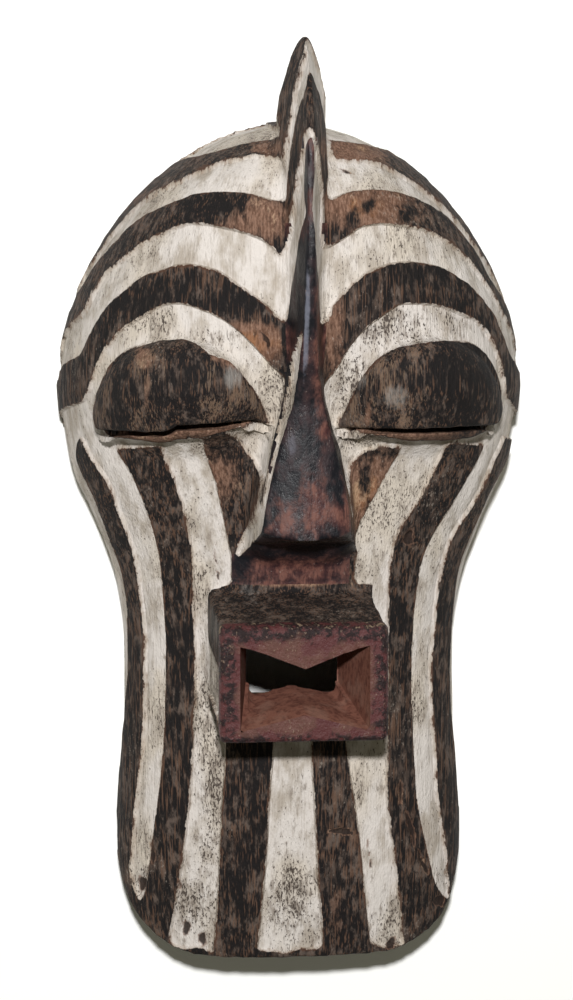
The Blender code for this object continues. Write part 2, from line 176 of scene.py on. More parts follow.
# The swelling of the lower lids: its outlines, the slit above it and how far it moves.
SLIT_Y = 43.6
SWELLS = [
    [(-108, 44), (-90, 33), (-74, 28.5), (-60, 27.5), (-46, 28.5), (-32, 33), (-17, 44), (-30, 56),
     (-60, 62), (-92, 56)],
    [(17, 44), (34, 33), (52, 28.5), (68, 27.5), (84, 28.5), (96, 33), (108, 44), (92, 56), (60, 62),
     (30, 56)],
]
SWELL_BY = (0.0, 2.4, 7.0)
# The left slit climbs towards the nose, with a step in it: across, then how much higher it is there.
SLIT_CLIMB = [(-110, -2.0), (-96, -1.8), (-70, -0.8), (-67, 0.2), (-64, 2.2), (-40, 3.4), (-24, 4.6),
              (-19, 2.0), (-15, 0.0)]

# Where the soot has worn to orange-brown wood: middle, half size and strength of each patch.
RUST = [
    (-25, 150, 26, 14, 0.95), (-28, 88, 24, 13, 1.4), (-18, 186, 10, 6, 0.9), (26, 185, 26, 9, 1.1),
    (30, 156, 34, 13, 1.2), (60, 153, 14, 8, 0.45), (14, 92, 8, 26, 0.9), (30, 112, 14, 10, 0.35),
    (70, 117, 26, 9, 0.25), (-44, 20, 16, 18, 0.85), (-42, -14, 10, 18, 0.4), (36, 10, 18, 26, 1.2),
    (-3, -30, 34, 9, 0.9), (-3, -36.5, 36, 1.2, 1.1), (-78, 162, 20, 8, 0.7), (0, 2, 20, 16, 0.7),
    (58.5, -14, 5, 10, 0.7), (-48, 118, 14, 6, 0.35), (-100, -190, 14, 30, 0.3), (22, -215, 6, 22, 0.6),
    (-24, -205, 10, 20, 0.25), (70, -150, 8, 40, 0.3), (-81, 83, 6, 8, 1.0), (-79.5, 68, 2.4, 18, 0.7),
    (31, 53, 2.0, 9, 1.0), (-95, 60, 8, 18, 0.35), (3, 8, 9, 18, 1.1),
    (9, 46, 3.5, 5, 1.1), (16, 3, 7, 8, 1.0), (-15, -3, 8, 5, 0.9), (6, 90, 4, 50, 0.7),
    (-52, 50, 30, 4, 0.5), (40, 66, 14, 20, 0.35),
]
# Where it is blackest: the same.
SOOT = [
    (-48, 156, 16, 8, 0.7), (-80, 112, 26, 12, 0.8), (-32, 109, 16, 5, 0.9), (24.5, 152, 4, 6, 1.0),
    (32.4, 157, 5, 4, 0.9), (52.7, 154, 5, 4, 0.9), (33, 16, 4, 11, 1.1), (36, 4, 4, 6, 1.0),
    (60, 124, 26, 7, 0.6), (-62, -60, 10, 70, 0.5), (56, -70, 9, 60, 0.4), (-27, -170, 12, 40, 0.3),
    (84, 66, 24, 28, 1.0), (-62, 68, 10, 22, 0.7), (-90, 66, 8, 20, 0.6), (-9, 100, 4, 30, 1.0),
]
# Grey bloom on the black, and a painted highlight in the thin streak down the top of the ridge: the same.
BLOOM_AND_HIGHLIGHT = [
    (-36, 73, 7, 9, 1.0), (44, 62, 9, 9, 0.9), (27, 71, 4, 9, 0.8), (-8, 40, 4, 10, 0.9),
    # The thin patch at (-2, 100) is not bloom but a painted highlight along the ridge's top.
    (-26, -40, 10, 8, 0.7), (-2, 100, 1.8, 34, 1.7),
    (-47, -55, 6, 16, 0.8), (56, 60, 3, 26, 0.5),
]
# Grains of black showing through the white: the same, for how much of the clay has gone.
GRIME = [
    (40, 96, 34, 12, 1.0), (80, 100, 22, 10, 0.7), (24, 72, 8, 22, 0.9), (-58, -214, 14, 20, 1.0),
    (-2, -215, 16, 28, 0.9), (-48, -205, 10, 26, 0.6), (-2, -165, 12, 30, 0.45), (46, -225, 12, 16, 0.6),
    (-84, -203, 8, 12, 0.9), (86, -205, 8, 14, 0.8), (-40, 92, 14, 8, 0.5), (-80, 104, 16, 10, 0.35),
    # The long patch at (-48, -140) makes the white band left of the lips greyer all along its length.
    (34, 40, 20, 6, 0.7), (60, -8, 14, 26, 0.35), (-50, 34, 20, 6, 0.4), (-48, -140, 9, 90, 0.7),
]
# Chips, gouges and cracks: middle, length, width, turn in degrees from upright, depth.
GOUGES = [
    (-84, -203, 9, 6, 20, 1.6), (-59, -225, 10, 5, 10, 1.4), (-49.6, -231, 9, 5, -8, 1.4),
    (53, -236, 8, 6, 5, 1.4), (81, -216, 9, 7, 40, 2.0), (24, -171, 17, 4, 75, 1.6),
    (58.5, -14, 9, 6, 15, 1.8), (-43, -27, 24, 1.4, 4, 1.0), (62, -172, 26, 3.5, 12, 1.3),
    (70, -192, 22, 3.0, 22, 1.3), (56, -152, 18, 3, -6, 1.1), (-77, -185, 14, 4, 12, 1.2),
    (-106, -182, 16, 8, 0, 1.2), (-62, -200, 30, 1.2, 6, 0.9), (40, -186, 26, 1.3, 10, 0.9),
    (48, 157, 12, 2.5, 70, 1.0), (-20, 90, 14, 3, 20, 1.4), (22, 176, 9, 2.4, 80, 0.9),
]


def linear(code):
    """An sRGB hex colour as linear red, green, blue and alpha."""
    parts = [int(code[i:i + 2], 16) / 255 for i in (1, 3, 5)]
    return tuple(p / 12.92 if p <= 0.04045 else ((p + 0.055) / 1.055) ** 2.4 for p in parts) + (1.0,)


def size(name, about, default):
    return FloatProperty(name=name, description=about, default=default, unit='LENGTH', precision=5)


def colour(name, about, code):
    return FloatVectorProperty(name=name, description=about, default=linear(code), subtype='COLOR', size=4,
                               min=0.0, max=1.0)


class CarvingSizes(bpy.types.PropertyGroup):
    grid: size("Grid", "Spacing of the surface's points", 0.0018)
    groove: size("Groove", "How deep the white bands are cut into the face", 0.0018)
    bank: size("Bank", "Width of the slope between a black band and a white one", 0.0009)
    adze: size("Adze marks", "How deep the facets of the adze are", 0.0005)
    sway: size("Sway", "How far the surface strays from a true curve", 0.0009)
    gouge: size("Gouge marks", "How deep the marks inside the hollow are", 0.0014)


class FinishColours(bpy.types.PropertyGroup):
    kaolin: colour("Kaolin", "White clay rubbed into the grooves", "#cbc4be")
    kaolin_old: colour("Old kaolin", "Where the clay is thin or dirty", "#a79d91")
    soot: colour("Soot", "Blackest of the standing bands", "#181515")
    soot_worn: colour("Worn soot", "Where the black has been handled", "#4b3f38")
    brown: colour("Worn edge", "Wood at the edges of the bands", "#4d3529")
    rust: colour("Bare wood", "Wood with the black gone", "#8f705f")
    lips: colour("Lips", "Red camwood paste, darkened by handling", "#502a2a")
    mouth: colour("Mouth", "Inside of the mouth", "#71493c")
    inside: colour("Inside", "Gouged wood that faces the wearer", "#6d4c35")
    floor: colour("Floor", "Pale studio floor", "#fafaf8")


class StageSettings(bpy.types.PropertyGroup):
    distance: size("Camera distance", "Camera to the middle of the mask", 1.4)
    aside: FloatProperty(name="Aside", description="How far the camera stands to the viewer's left",
                         default=math.radians(5), subtype='ANGLE')
    above: FloatProperty(name="Above", description="How far the camera stands towards the crest",
                         default=math.radians(6), subtype='ANGLE')
    light_tilt: FloatProperty(name="Light tilt", description="Key light's tilt towards the crest",
                              default=math.radians(16), subtype='ANGLE')
    light_power: FloatProperty(name="Light power", description="Key light, in watts", default=36.0,
                               subtype='POWER')


def smooth_curve(points, closed=False):
    """Points along a smooth curve through these ones, about CURVE_STEP apart."""
    knots = [np.array(p, float) for p in points]
    if closed:
        knots = [knots[-1]] + knots + knots[:2]
    else:
        knots = [2 * knots[0] - knots[1]] + knots + [2 * knots[-1] - knots[-2]]
    out = []
    for p0, p1, p2, p3 in zip(knots, knots[1:], knots[2:], knots[3:]):
        near, far = np.linalg.norm(p1 - p0), np.linalg.norm(p3 - p2)
        gap = np.linalg.norm(p2 - p1)
        start = (p2 - p0) * gap / (gap + near)
        end = (p3 - p1) * gap / (gap + far)
        count = max(1, round(gap / CURVE_STEP))
        for i in range(count):
            t = i / count
            out.append(p1 * (1 + 2 * t) * (1 - t) ** 2 + start * t * (1 - t) ** 2
                       + p2 * t * t * (3 - 2 * t) + end * t * t * (t - 1))
    if not closed:
        out.append(knots[-2])
    return out


def band(borders):
    """The closed outline between a band's two borders."""
    first, second = borders
    return np.array(smooth_curve(first) + smooth_curve(second)[::-1])


def depth_inside(places, edge):
    """How far each place is inside a closed outline, in mm; negative outside it."""
    found = np.full(len(places), -FAR)
    low, high = edge.min(0) - FAR, edge.max(0) + FAR
    near = np.where(((places > low) & (places < high)).all(1))[0]
    p = places[near]
    best = np.full(len(p), FAR ** 2)
    inside = np.zeros(len(p), bool)
    for a, b in zip(edge, np.roll(edge, -1, 0)):
        side = b - a
        reach = side @ side
        if reach < 1e-9:
            continue
        t = np.clip((p - a) @ side / reach, 0, 1)
        gap = p - a - t[:, None] * side
        best = np.minimum(best, (gap ** 2).sum(1))
        if a[1] != b[1]:
            crosses = (a[1] > p[:, 1]) != (b[1] > p[:, 1])
            at = a[0] + (p[:, 1] - a[1]) * side[0] / side[1]
            inside ^= crosses & (p[:, 0] < at)
    found[near] = np.sqrt(best) * np.where(inside, 1, -1)
    return found


def deepest(places, outlines):
    """How far each place is inside the smooth closed outline that it is deepest in, in mm."""
    curves = [np.array(smooth_curve(points, True)) for points in outlines]
    return np.maximum.reduce([depth_inside(places, curve) for curve in curves])


def soft_patches(places, patches):
    """Strength of a set of soft round patches at each place."""
    total = np.zeros(len(places))
    for x, y, half_x, half_y, strength in patches:
        reach = ((places[:, 0] - x) / half_x) ** 2 + ((places[:, 1] - y) / half_y) ** 2
        total = np.maximum(total, strength * np.exp(-(reach ** 1.5)))
    return total


def ease(values, low, high):
    """0 below low, 1 above high and a smooth rise between them."""
    t = np.clip((values - low) / (high - low), 0, 1)
    return t * t * (3 - 2 * t)


def activate(obj):
    bpy.ops.object.select_all(action='DESELECT')
    obj.select_set(True)
    bpy.context.view_layer.objects.active = obj


def apply_modifier(obj, kind, **settings):
    activate(obj)
    step = obj.modifiers.new(kind.title(), kind)
    for name, value in settings.items():
        setattr(step, name, value)
    bpy.ops.object.modifier_apply(modifier=step.name)


def rough_out(sizes):
    """A copy of the plain solid with an even, slightly softened surface."""
    activate(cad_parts["mask"])
    bpy.ops.object.duplicate()
    piece = bpy.context.active_object
    for key in list(piece.keys()):
        del piece[key]
    piece.parent = None
    piece.matrix_world = Matrix.Identity(4)
    piece.name = "carved_mask"
    piece.data.name = "carved_mask"
    piece.data.materials.clear()
    bpy.ops.object.mode_set(mode='EDIT')
    bpy.ops.mesh.select_all(action='SELECT')
    bpy.ops.mesh.remove_doubles(threshold=1e-6)
    bpy.ops.object.mode_set(mode='OBJECT')
    mesh = piece.data
    solid = BVHTree.FromPolygons([v.co.copy() for v in mesh.vertices],
                                 [tuple(f.vertices) for f in mesh.polygons])
    apply_modifier(piece, 'REMESH', mode='VOXEL', voxel_size=sizes.grid, adaptivity=0.0)
    apply_modifier(piece, 'SMOOTH', factor=0.5, iterations=1)
    return piece, solid


def cut_opening(piece):
    """Cut the mouth again with clean edges: a bow-tie opening that narrows towards the throat."""
    rings = []
    for out, half, corner_up, point_up, point_down, corner_down in (OPENING_FRONT, OPENING_THROAT):
        share = out / MOUTH_LEAN[2]
        ring = [(-half, corner_up), (0, point_up), (half, corner_up), (half, corner_down), (0, point_down),
                (-half, corner_down)]
        middle = Vector(MOUTH_ROOT) + share * Vector(MOUTH_LEAN)
        rings.append([(middle + Vector((x, y, 0))) * MM for x, y in ring])
    bm = bmesh.new()
    front, back = ([bm.verts.new(p) for p in ring] for ring in rings)
    bm.faces.new(front)
    bm.faces.new(back[::-1])
    for i in range(len(front)):
        j = (i + 1) % len(front)
        bm.faces.new((front[i], back[i], back[j], front[j]))
    bmesh.ops.recalc_face_normals(bm, faces=bm.faces[:])
    shape = bpy.data.meshes.new("opening")
    bm.to_mesh(shape)
    bm.free()
    cutter = bpy.data.objects.new("opening", shape)
    bpy.context.scene.collection.objects.link(cutter)
    apply_modifier(piece, 'BOOLEAN', operation='DIFFERENCE', solver='EXACT', object=cutter)
    bpy.data.objects.remove(cutter)


def read(mesh):
    """The mesh's points and normals as arrays, the points in millimetres."""
    count = len(mesh.vertices)
    places, normals = np.zeros(count * 3), np.zeros(count * 3)
    mesh.vertices.foreach_get("co", places)
    mesh.vertices.foreach_get("normal", normals)
    return places.reshape(-1, 3) / MM, normals.reshape(-1, 3)


def faces_wearer(solid, places, normals):
    """Which points are inside the hollow: something of the mask is both above them and outside them."""
    hidden = np.zeros(len(places), bool)
    up = Vector((0, 0, 1))
    for i, (place, normal) in enumerate(zip(places, normals)):
        start = Vector(place) * MM + Vector(normal) * 1.5 * MM
        if solid.ray_cast(start, up)[0] is None:
            continue
        middle = max(-0.30, min(0.30, place[1] / LENGTH)) * LENGTH
        away = Vector((place[0], place[1] - middle, 0)).normalized()
        hidden[i] = solid.ray_cast(start, away)[0] is not None
    return hidden


def in_mouth(places):
    """Place in the lips' box: across and up from its middle, and how far out from its root, in mm."""
    out = (places[:, 2] - MOUTH_ROOT[2]) / MOUTH_LEAN[2]
    across = places[:, 0] - MOUTH_ROOT[0] - MOUTH_LEAN[0] * out
    up = places[:, 1] - MOUTH_ROOT[1] - MOUTH_LEAN[1] * out
    return across, up, out * MOUTH_LEAN[2]


def within(across, up, half):
    """Which places are in the upright box with this half width and half height."""
    return (np.abs(across) < half[0]) & (np.abs(up) < half[1])


def in_hollow(solid, places, normals):
    """Which points face the wearer, leaving out the mouth's opening."""
    across, up, out = in_mouth(places)
    opening = within(across, up + 0.5, LIPS_OPENING) & (out > 4) & (out < 46.5)
    # A look up or sideways can leave the hollow through the eyes' slits, so the ceiling beside them is
    # looked for from below.
    ceiling = (normals[:, 2] < -0.3) & (np.abs(places[:, 1] - SLIT_Y) < 14) & (np.abs(places[:, 0]) < 100)
    down = Vector((0, 0, -1))
    for i in np.where(ceiling)[0]:
        start = Vector(places[i] + 1.5 * normals[i]) * MM
        ceiling[i] = solid.ray_cast(start, down)[0] is None
    return (faces_wearer(solid, places, normals) | ceiling) & ~opening


def rolled_out(places, normals):
    """Plan places with the walls of the head rolled out flat."""
    drop = np.where(places[:, 2] < ROLL_FROM, (ROLL_FROM - places[:, 2]) ** 2 / (2 * ROLL_FROM), 0.0)
    outward = normals[:, :2] / np.maximum(np.linalg.norm(normals[:, :2], axis=1), 1e-6)[:, None]
    return places[:, :2] + outward * drop[:, None]


def band_field(plan):
    """How far each place is inside the standing black wood, in mm; negative in the white grooves."""
    field = np.full(len(plan), -FAR)
    for borders in LEFT_BANDS + RIGHT_BANDS + CHEEK_BANDS:
        field = np.maximum(field, depth_inside(plan, band(borders)))
    for points in BROWN_FIELDS:
        field = np.maximum(field, depth_inside(plan, np.array(points, float)))
    field = np.maximum(field, deepest(plan, [RIDGE]))
    field = np.minimum(field, -deepest(plan, CHEVRONS))
    return np.maximum(field, deepest(plan, LIDS + LOWER_LIDS))


def cut_along(mesh, name, level):
    """Cut the mesh's faces where a field crosses this level, so a border is a true edge."""
    bm = bmesh.new()
    bm.from_mesh(mesh)
    layer = bm.verts.layers.float[name]
    fresh = []
    for edge in list(bm.edges):
        a, b = edge.verts
        at_a, at_b = a[layer] - level, b[layer] - level
        if at_a * at_b < 0 and abs(at_a) + abs(at_b) < FAR / 4:
            share = min(0.92, max(0.08, at_a / (at_a - at_b)))
            fresh.append(bmesh.utils.edge_split(edge, a, share)[1])
    bmesh.ops.connect_verts(bm, verts=fresh)
    bm.to_mesh(mesh)
    bm.free()


def store(mesh, name, values):
    """Keep one number for each point of the mesh, for the materials to read."""
    old = mesh.attributes.get(name)
    if old:
        mesh.attributes.remove(old)
    kept = mesh.attributes.new(name, 'FLOAT', 'POINT')
    kept.data.foreach_set("value", np.ascontiguousarray(values, np.float32))


def even_out(mesh, field):
    """Average a field over each point's neighbours, so that borders run smoothly over the steep walls."""
    field = np.clip(field, -EVEN_WITHIN, EVEN_WITHIN)
    ends = np.zeros(len(mesh.edges) * 2, np.int32)
    mesh.edges.foreach_get("vertices", ends)
    a, b = ends.reshape(-1, 2).T
    count = np.maximum(np.bincount(ends, minlength=len(field)), 1)
    for step in range(EVEN_STEPS):
        total = np.bincount(a, field[b], len(field)) + np.bincount(b, field[a], len(field))
        field = (field + total / count) / 2
    return field


def load_values(mesh, name):
    values = np.zeros(len(mesh.vertices), np.float32)
    mesh.attributes[name].data.foreach_get("value", values)
    return values.astype(float)


def gouge_field(plan, gouges):
    """Depth of the chips and cracks at each place, in mm."""
    total = np.zeros(len(plan))
    for x, y, length, width, turn, depth in gouges:
        angle = math.radians(turn)
        dx, dy = plan[:, 0] - x, plan[:, 1] - y
        along = -dx * math.sin(angle) + dy * math.cos(angle)
        across = dx * math.cos(angle) + dy * math.sin(angle)
        across = across + 0.2 * width * np.sin(along / length * 5 + x)
        reach = (along / (length / 2)) ** 2 + (across / (width / 2)) ** 2
        total = np.maximum(total, depth * np.clip(1 - reach, 0, 1) ** 0.6)
    return total


def mark_bands(piece, solid, sizes):
    """Work out where black and white meet, keep that on the mesh and cut true edges along it."""
    mesh = piece.data
    places, normals = read(mesh)
    thin_out(piece, (places[:, 2] > 3) & (places[:, 2] < WALL_TOP), 0.28)
    places, normals = read(mesh)
    thin_out(piece, in_hollow(solid, places, normals) & (places[:, 2] > 3), 0.11)

    places, normals = read(mesh)
    hidden = in_hollow(solid, places, normals)
    hidden |= (places[:, 2] < 1.5) & (normals[:, 2] < -0.6)
    across, up, out = in_mouth(places)
    on_box = within(across, up, LIPS_BOX) & (out > 3)
    field = band_field(rolled_out(places, normals))
    behind_crest = (places[:, 1] > 0.80 * LENGTH / 2) & (normals[:, 2] < -0.15) & (np.abs(places[:, 0]) < 20)
    field[on_box | hidden | behind_crest] = FAR
    # A white patch is left on the left wall of the lips' box.
    patch = on_box & (across < -38) & (out < 42)
    field[patch] = np.abs(up[patch] + 9) - 14
    # The white ends in a ragged line just short of the chin's edge, below where the outer bands turn out.
    chin_edge = ~hidden & (places[:, 1] < CHIN_TURN)
    ragged = -236.5 + 1.2 * np.sin(places[:, 0] / 5) + 0.8 * np.sin(places[:, 0] / 2.1 + 1)
    steep = np.minimum(7 * (0.5 - normals[:, 2]), CHIN_TURN - places[:, 1])
    field[chin_edge] = np.maximum(field, np.maximum(steep, ragged - places[:, 1]))[chin_edge]
    store(mesh, "band", even_out(mesh, field))
    store(mesh, "inside", hidden.astype(float))
    for level in (0.0, -sizes.bank / MM):
        cut_along(mesh, "band", level)


def tool_marks(places, inside, lips, sizes):
    """Depth of the adze's facets outside, calmer on the lips, and of the gouge's marks inside, in mm."""
    adze, sway, gouge = sizes.adze / MM, sizes.sway / MM, sizes.gouge / MM
    depth = np.zeros(len(places))
    for i, (x, y, z) in enumerate(places):
        if inside[i] > 0.5:
            facet = noise.voronoi(Vector((x / 11, y / 24, z / 11)))[0][0]
            depth[i] = gouge * (0.4 - min(0.4, facet * facet))
            continue
        facet = noise.voronoi(Vector((x / 8, y / 21, z / 9)))[0][0]
        calm = 1 - 0.75 * lips[i]
        depth[i] = calm * adze * (1 - min(1.0, 1.6 * facet * facet))
        depth[i] += calm * sway * 0.5 * (1 + noise.noise(Vector((x / 26, y / 40, z / 26))))
        depth[i] += calm * 0.18 * (1 + noise.noise(Vector((x / 4.5, y / 14, z / 4.5))))
    return depth


def carve(piece, solid, sizes):
    """Cut the grooves, tool marks and chips, swell the lower lids and let the upper lip's point hang."""
    mark_bands(piece, solid, sizes)
    mesh = piece.data
    places, normals = read(mesh)
    field, inside = load_values(mesh, "band"), load_values(mesh, "inside")
    plan = rolled_out(places, normals)
    across, up, out = in_mouth(places)
    chips = gouge_field(plan, GOUGES) * (1 - inside)
    lips = ease(out, 40.0, 45.0) * within(across, up, LIPS_BOX)
    cut = sizes.groove / MM * ease(-field, 0.0, sizes.bank / MM) + chips
    cut += tool_marks(places, inside, lips, sizes)
    cut[places[:, 2] < 0.6] = 0.0       # the rim stays flat

    # The lower lids swell out to meet the upper ones, which leaves only a thin slit.
    swell = ease(deepest(plan, SWELLS), 0.0, 9.0)
    swell = swell * (plan[:, 1] < SLIT_Y) * ease(places[:, 2], 80, 90) * (1 - inside)
    climb = np.interp(places[:, 0], *zip(*SLIT_CLIMB)) * np.exp(-((places[:, 1] - SLIT_Y) / 11) ** 2)
    climb *= places[:, 0] < -15
    sag = LIP_SAG * np.clip(1 - np.abs(across) / 31, 0, 1) * ease(up, 0, 8) * ease(-up, -24, -13)
    sag *= ease(out, 6, 40) * (out < 50)
    places = places - normals * cut[:, None] + swell[:, None] * np.array(SWELL_BY)
    places[:, 1] += climb * ease(places[:, 2], 60, 84) - sag
    mesh.vertices.foreach_set("co", (places * MM).ravel())
    mesh.update()
    keep_finish(mesh, plan, normals, field, inside, chips, across, up)


def keep_finish(mesh, plan, normals, field, inside, chips, across, up):
    """Keep on the mesh its wear, soot, dirt, chips, rubbing and painted highlight, for the materials to read.
    """
    outside = 1 - inside
    lower = ease(deepest(plan, LOWER_LIDS), -0.5, 0.8)
    store(mesh, "lid", ease(deepest(plan, LIDS), 0.0, 1.0))
    store(mesh, "rust", np.maximum(soft_patches(plan, RUST), 0.95 * lower) * outside)
    # Grey bloom, and the highlight painted down the ridge.
    store(mesh, "bloom_and_highlight", soft_patches(plan, BLOOM_AND_HIGHLIGHT) * outside)
    store(mesh, "soot", soft_patches(plan, SOOT) * outside)
    store(mesh, "grime", soft_patches(plan, GRIME))
    store(mesh, "chip", np.clip(chips, 0, 2))
    rim = np.maximum(np.abs(across) - 31, np.abs(up + 0.5) - 19.5)
    store(mesh, "lip_inner", 1 - ease(rim, 0.0, 9.0))
    edge = np.maximum(np.abs(across) - 41, np.abs(up) - 28)
    store(mesh, "lip_edge", ease(edge, -1.0, 1.5))
    # Hands have rubbed the nose, the ridge up to the crest and the wood under the nose.
    rubbed_to = np.where(np.abs(plan[:, 0]) < 5, 190, 150)
    on_nose = (deepest(plan, [RIDGE]) > -0.5) & (plan[:, 1] > -20) & (plan[:, 1] < rubbed_to)
    under_nose = (np.abs(across) < 32) & (plan[:, 1] < -20) & (up > 33.5) & (plan[:, 1] > -60)
    store(mesh, "polish", (on_nose | under_nose) & (field > -0.5) & (normals[:, 2] > 0.2))


def thin_out(piece, chosen, ratio):
    """Leave only this share of the faces between the chosen points, where the surface is plain."""
    mesh = piece.data
    activate(piece)
    for v, pick in zip(mesh.vertices, chosen):
        v.select = bool(pick)
    for e in mesh.edges:
        e.select = bool(chosen[e.vertices[0]] and chosen[e.vertices[1]])
    for f in mesh.polygons:
        f.select = all(chosen[i] for i in f.vertices)
    bpy.ops.object.mode_set(mode='EDIT')
    bpy.ops.mesh.select_mode(type='FACE')
    bpy.ops.mesh.decimate(ratio=ratio)
    bpy.ops.object.mode_set(mode='OBJECT')


def add(tree, kind, links=None, **settings):
    """A node with its settings, each of its inputs linked to a socket or set to a value."""
    node = tree.nodes.new("ShaderNode" + kind)
    for name, value in settings.items():
        setattr(node, name, value)
    for key, value in (links or {}).items():
        if isinstance(value, bpy.types.NodeSocket):
            tree.links.new(value, node.inputs[key])
        else:
            node.inputs[key].default_value = value
    return node


def start_material(name, grains):
    """A material with its shader and its noise: name, mm across the fibres, mm along them, detail, roughness.

    The finest grain is 0.8 mm wide, coarser than softwood's own, so that it still shows at the photo's size.
    """
    material = bpy.data.materials.new(name)
    material.use_nodes = True
    tree = material.node_tree
    tree.nodes.clear()
    shader = add(tree, "BsdfPrincipled")
    add(tree, "OutputMaterial", {"Surface": shader.outputs[0]})
    place = add(tree, "TexCoord").outputs["Object"]
    fields = {}
    for grain, (wide, long, detail, rough) in grains.items():
        scaled = add(tree, "Mapping", {"Vector": place, "Scale": (1000 / wide, 1000 / long, 1000 / wide)})
        fields[grain] = add(tree, "TexNoise", {"Vector": scaled.outputs[0], "Scale": 1.0, "Detail": detail,
                                               "Roughness": rough}).outputs["Fac"]
    return material, tree, shader, fields


def coats(tree, base, layers):
    """A base with coats over it: for each the fields and their shares, where it starts, where it is full, how
    strong it is and its colour."""
    for parts, start, full, strength, coat in layers:
        total = 0.0
        for field, share in parts:
            total = add(tree, "Math", {0: field, 1: share, 2: total}, operation='MULTIPLY_ADD').outputs[0]
        limits = {"Value": total, "From Min": start, "From Max": full, "To Max": strength}
        cover = add(tree, "MapRange", limits, interpolation_type='SMOOTHSTEP')
        base = add(tree, "Mix", {0: cover.outputs[0], 6: base, 7: coat}, data_type='RGBA').outputs[2]
    return base


def painted_wood(colours):
    """Softwood blackened with soot, grooves rubbed with kaolin: dry chalk beside a dull, streaky black."""
    material, tree, shader, f = start_material("Soot-blackened softwood with kaolin", {
        "fibre": (0.9, 18, 2.0, 0.55), "pores": (0.9, 2.0, 3.0, 0.62), "scratches": (0.8, 9, 3.0, 0.6),
        "streaks": (2.0, 26, 3.0, 0.6), "specks": (1.2, 2.2, 3.0, 0.65), "mottle": (3.6, 9, 5.0, 0.66),
        "clouds": (11, 24, 4.0, 0.6), "wide": (34, 60, 3.0, 0.55)})
    for name in ("band", "rust", "soot", "grime", "chip", "lid", "bloom_and_highlight"):
        f[name] = add(tree, "Attribute", attribute_name=name).outputs["Fac"]

    clay = coats(tree, colours.kaolin, [
        ([(f["wide"], 1.0)], 0.46, 0.64, 0.5, linear("#b7a993")),
        ([(f["clouds"], 1.0)], 0.44, 0.66, 0.9, colours.kaolin_old),
        ([(f["fibre"], 0.6), (f["clouds"], 0.4)], 0.50, 0.62, 0.42, linear("#968b80")),
        ([(f["mottle"], 1.0), (f["grime"], 0.12), (f["wide"], 0.3)], 0.70, 0.88, 0.75, linear("#7d7268")),
        # The white darkens next to the borders of the black bands.
        ([(f["band"], 1.0), (f["mottle"], 4.0)], 0.8, 2.2, 0.6, linear("#8a7663")),
        ([(f["scratches"], 1.0), (f["wide"], 0.4), (f["grime"], 0.06)], 0.85, 0.90, 0.75, linear("#4b423a")),
        ([(f["pores"], 1.0), (f["grime"], 0.13), (f["wide"], 0.5), (f["clouds"], 0.3)], 1.045, 1.10, 0.9,
         linear("#3c332e"))])

    wood = coats(tree, linear("#5d4335"), [
        ([(f["fibre"], 0.4), (f["specks"], 0.3), (f["mottle"], 0.3)], 0.42, 0.60, 0.75, colours.rust),
        ([(f["rust"], 1.0), (f["clouds"], 1.2), (f["mottle"], 0.6)], 2.0, 2.4, 0.6, linear("#94643f")),
        ([(f["mottle"], 1.0), (f["clouds"], 0.3)], 0.70, 0.86, 0.8, linear("#35261f")),
        ([(f["clouds"], 1.0), (f["specks"], 0.5)], 0.84, 0.98, 0.6, linear("#b3977c"))])
    black = coats(tree, colours.soot, [
        ([(f["mottle"], 0.6), (f["streaks"], 0.5), (f["soot"], -0.09), (f["wide"], 0.3)], 0.665, 0.84, 0.9,
         colours.soot_worn),
        ([(f["mottle"], 1.0), (f["clouds"], 0.6), (f["soot"], -0.08)], 0.80, 1.00, 0.7, linear("#64574f")),
        ([(f["fibre"], 1.0), (f["clouds"], 0.4), (f["soot"], -0.07)], 0.73, 0.86, 0.65, linear("#654c3d")),
        ([(f["rust"], 1.0), (f["mottle"], 1.5), (f["clouds"], 0.8), (f["soot"], -0.8)], 1.55, 2.15, 1.0,
         wood),
        ([(f["specks"], 1.0), (f["wide"], 0.6), (f["mottle"], 0.3), (f["soot"], -0.2)], 1.10, 1.20, 0.5,
         linear("#8f857b")),
        ([(f["lid"], 1.0), (f["scratches"], 1.0), (f["clouds"], 1.0), (f["soot"], -0.3)], 2.02, 2.16, 0.7,
         linear("#715d4d")),
        ([(f["bloom_and_highlight"], 1.0), (f["streaks"], 0.8), (f["specks"], 0.4)], 1.15, 1.75, 0.75, linear("#8b8681")),
        ([(f["band"], -1.0), (f["specks"], 2.5), (f["clouds"], 6.0)], 3.7, 4.6, 0.85, colours.brown)])

    # The painted border wanders off the cut one, as a rag leaves it.
    look = coats(tree, clay, [
        ([(f["band"], 1.0), (f["mottle"], 3.0), (f["pores"], 1.2)], 1.9, 2.25, 1.0, black),
        ([(f["chip"], 1.0), (f["specks"], 1.0)], 0.7, 1.2, 0.7, wood),
        ([(f["chip"], 1.0), (f["mottle"], 1.5)], 1.25, 1.7, 0.85, colours.soot)])
    height = add(tree, "Math", {0: f["fibre"], 1: f["pores"]}, operation='ADD')
    height = add(tree, "Math", {0: f["mottle"], 1: 1.6, 2: height.outputs[0]}, operation='MULTIPLY_ADD')
    bump = add(tree, "Bump", {"Height": height.outputs[0], "Strength": 0.9, "Distance": 0.6 * MM})
    tree.links.new(look, shader.inputs["Base Color"])
    tree.links.new(bump.outputs[0], shader.inputs["Normal"])
    shader.inputs["Roughness"].default_value = 0.78
    shader.inputs["Specular IOR Level"].default_value = 0.18
    return material


